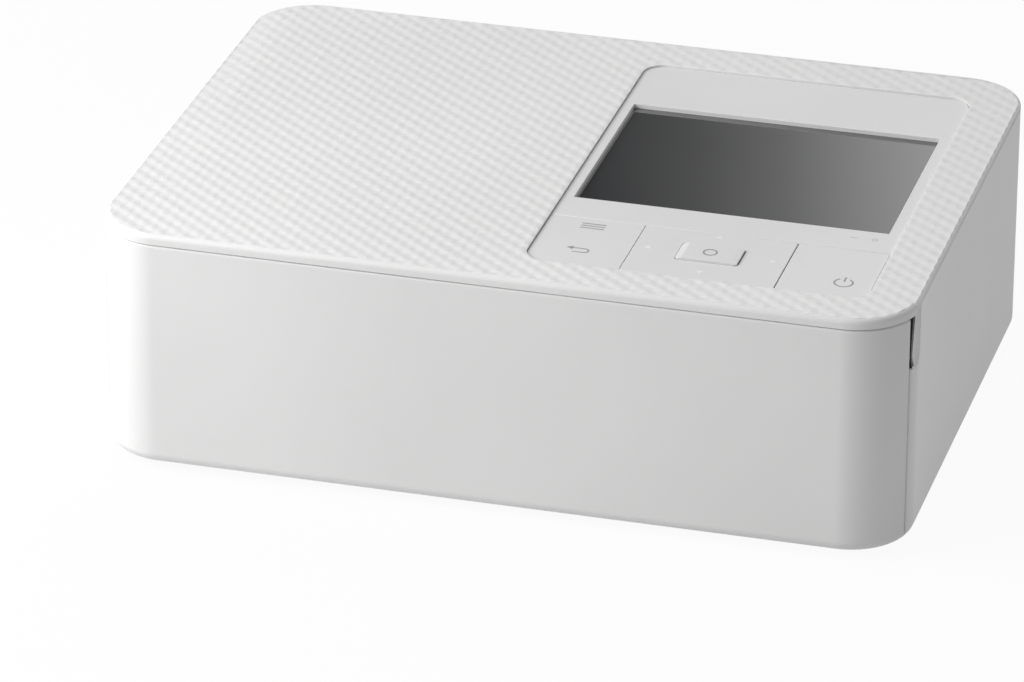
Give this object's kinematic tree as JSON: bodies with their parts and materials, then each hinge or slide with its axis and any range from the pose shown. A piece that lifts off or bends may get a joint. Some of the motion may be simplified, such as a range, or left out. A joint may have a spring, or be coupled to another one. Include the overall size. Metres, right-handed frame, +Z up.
{
  "type": "photo printer",
  "caption": "Compact dye-sublimation photo printer with a control panel on its top, a drop-down front cover and a ribbon door on its side.",
  "frame": {"origin": "middle of the footprint on the ground under the feet", "axes": "+X to the right across the long front, -Y towards the front cover, +Z up"},
  "size_m": [0.1822, 0.133, 0.0576],
  "materials": {
    "shell": "satin",
    "base": "matte",
    "panel": "satin",
    "display": "glossy",
    "inner": "matte",
    "black_plastic": "matte",
    "cartridge": "satin",
    "lever": "satin",
    "rubber": "matte",
    "sheet_steel": "brushed",
    "ground_steel": "ground",
    "motor_can": "satin",
    "gear_plastic": "satin",
    "brass": "satin",
    "board": "glossy",
    "heat_sink": "satin",
    "ceramic": "satin",
    "ribbon": "glossy"
  },
  "bodies": {
    "case": {"base_case": "base", "side_case": "shell", "top_cover": "shell", "front_panel": "inner", "hinge_pins": "ground_steel", "ink_door_pins": "ground_steel", "rubber_feet": "rubber", "case_screws": "ground_steel", "panel_bezel": "panel", "display_window": "display", "lcd_module": "sheet_steel", "key_mat": "rubber", "key_board": "board", "main_board": "board", "io_board": "board", "card_slot": "sheet_steel", "usb_c_port": "sheet_steel", "dc_jack": "black_plastic", "frame_left": "sheet_steel", "frame_right": "sheet_steel", "tie_bars": "ground_steel", "motor_bracket": "sheet_steel", "paper_guide_front": "black_plastic", "paper_guide_rear": "black_plastic", "roller_bushes": "brass", "feed_motor": "motor_can", "ribbon_motor": "motor_can", "ink_cassette": "cartridge", "ink_ribbon": "ribbon", "lift_motor": "motor_can"},
    "cover": {"front_cover": "shell"},
    "door": {"ink_door": "shell"},
    "lever": {"eject_lever": "lever"},
    "menu": {"menu_key": "panel"},
    "rocker": {"nav_pivot": "inner"},
    "nav": {"nav_plate": "panel"},
    "ok": {"ok_key": "panel"},
    "power": {"power_key": "panel"},
    "capstan": {"capstan_roller": "ground_steel", "capstan_gear": "gear_plastic"},
    "platen": {"platen_roller": "rubber"},
    "pinch": {"pinch_roller": "rubber"},
    "pickup": {"pickup_arm": "black_plastic"},
    "tyres": {"pickup_roller": "rubber"},
    "pinion": {"motor_pinion": "brass"},
    "reduction": {"reduction_gear": "gear_plastic"},
    "takeup": {"takeup_spool": "black_plastic", "takeup_spindle": "gear_plastic"},
    "supply": {"supply_spool": "black_plastic"},
    "ribbon_drive": {"ribbon_pinion": "brass"},
    "head": {"head_arm": "sheet_steel", "thermal_head": "ceramic", "heat_sink": "heat_sink", "head_shaft": "ground_steel"},
    "lift": {"lift_gear": "gear_plastic"}
  },
  "joints": [
    {"name": "cover_open", "type": "hinge", "parent": "case", "child": "cover", "pos_m": [0, -0.0622, 0.0047], "axis": [1, 0, 0], "range_deg": [0, 90]},
    {"name": "door_open", "type": "hinge", "parent": "case", "child": "door", "pos_m": [-0.0891, 0.0107, 0.017], "axis": [0, -1, 0], "range_deg": [0, 92]},
    {"name": "lever_turn", "type": "hinge", "parent": "case", "child": "lever", "pos_m": [-0.082, 0.0453, 0.03], "axis": [1, 0, 0], "range_deg": [0, 20], "stiffness_Nm_per_rad": 0.002, "springref_deg": -5.73},
    {"name": "menu_rock", "type": "hinge", "parent": "case", "child": "menu", "pos_m": [0.0136, -0.04285, 0.0555], "axis": [1, 0, 0], "range_deg": [-1, 1], "stiffness_Nm_per_rad": 0.1},
    {"name": "nav_up_down", "type": "hinge", "parent": "case", "child": "rocker", "pos_m": [0.04222, -0.04145, 0.0555], "axis": [1, 0, 0], "range_deg": [-1, 1], "stiffness_Nm_per_rad": 0.1},
    {"name": "nav_left_right", "type": "hinge", "parent": "rocker", "child": "nav", "pos_m": [0.04222, -0.04145, 0.0555], "axis": [0, 1, 0], "range_deg": [-1, 1], "stiffness_Nm_per_rad": 0.1},
    {"name": "ok_press", "type": "slide", "parent": "case", "child": "ok", "axis": [0, 0, 1], "range_m": [-0.00035, 0], "stiffness_N_per_m": 400},
    {"name": "power_press", "type": "slide", "parent": "case", "child": "power", "axis": [0, 0, 1], "range_m": [-0.00035, 0], "stiffness_N_per_m": 400},
    {"name": "capstan_turn", "type": "hinge", "parent": "case", "child": "capstan", "pos_m": [0, 0.046, 0.0179], "axis": [1, 0, 0], "continuous": true},
    {"name": "platen_turn", "type": "hinge", "parent": "case", "child": "platen", "pos_m": [0, 0.012, 0.0149], "axis": [1, 0, 0], "continuous": true},
    {"name": "pinch_turn", "type": "hinge", "parent": "case", "child": "pinch", "pos_m": [0, 0.046, 0.0251], "axis": [1, 0, 0], "continuous": true},
    {"name": "reduction_turn", "type": "hinge", "parent": "case", "child": "reduction", "pos_m": [0.054, 0.05056, 0.0349], "axis": [1, 0, 0], "continuous": true},
    {"name": "pinion_turn", "type": "hinge", "parent": "case", "child": "pinion", "pos_m": [0.056, 0.05056, 0.0223], "axis": [1, 0, 0], "continuous": true},
    {"name": "pickup_lower", "type": "hinge", "parent": "case", "child": "pickup", "pos_m": [-0.014, -0.05, 0.0376], "axis": [1, 0, 0], "range_deg": [-12, 0], "stiffness_Nm_per_rad": 0.02, "springref_deg": 11.46},
    {"name": "tyres_turn", "type": "hinge", "parent": "pickup", "child": "tyres", "pos_m": [-0.014, -0.031, 0.031], "axis": [1, 0, 0], "continuous": true},
    {"name": "takeup_turn", "type": "hinge", "parent": "case", "child": "takeup", "pos_m": [0, 0.0312, 0.033], "axis": [1, 0, 0], "continuous": true},
    {"name": "supply_turn", "type": "hinge", "parent": "case", "child": "supply", "pos_m": [0, -0.0102, 0.033], "axis": [1, 0, 0], "continuous": true},
    {"name": "ribbon_drive_turn", "type": "hinge", "parent": "case", "child": "ribbon_drive", "pos_m": [0.052, 0.02579, 0.04165], "axis": [1, 0, 0], "continuous": true},
    {"name": "head_lower", "type": "hinge", "parent": "case", "child": "head", "pos_m": [0, 0.05, 0.046], "axis": [1, 0, 0], "range_deg": [0, 9.8]},
    {"name": "lift_turn", "type": "hinge", "parent": "case", "child": "lift", "pos_m": [-0.082, 0.05685, 0.03132], "axis": [1, 0, 0], "range_deg": [-28.05, 0]}
  ],
  "couplings": [
    {"joint": "platen_turn", "follows": "capstan_turn", "ratio": 0.5},
    {"joint": "pinch_turn", "follows": "capstan_turn", "ratio": -0.75},
    {"joint": "reduction_turn", "follows": "capstan_turn", "ratio": -2.1429},
    {"joint": "pinion_turn", "follows": "capstan_turn", "ratio": 5.3571},
    {"joint": "supply_turn", "follows": "takeup_turn", "ratio": 0.60976},
    {"joint": "ribbon_drive_turn", "follows": "takeup_turn", "ratio": -1.8333},
    {"joint": "lift_turn", "follows": "head_lower", "ratio": -2.8571}
  ]
}
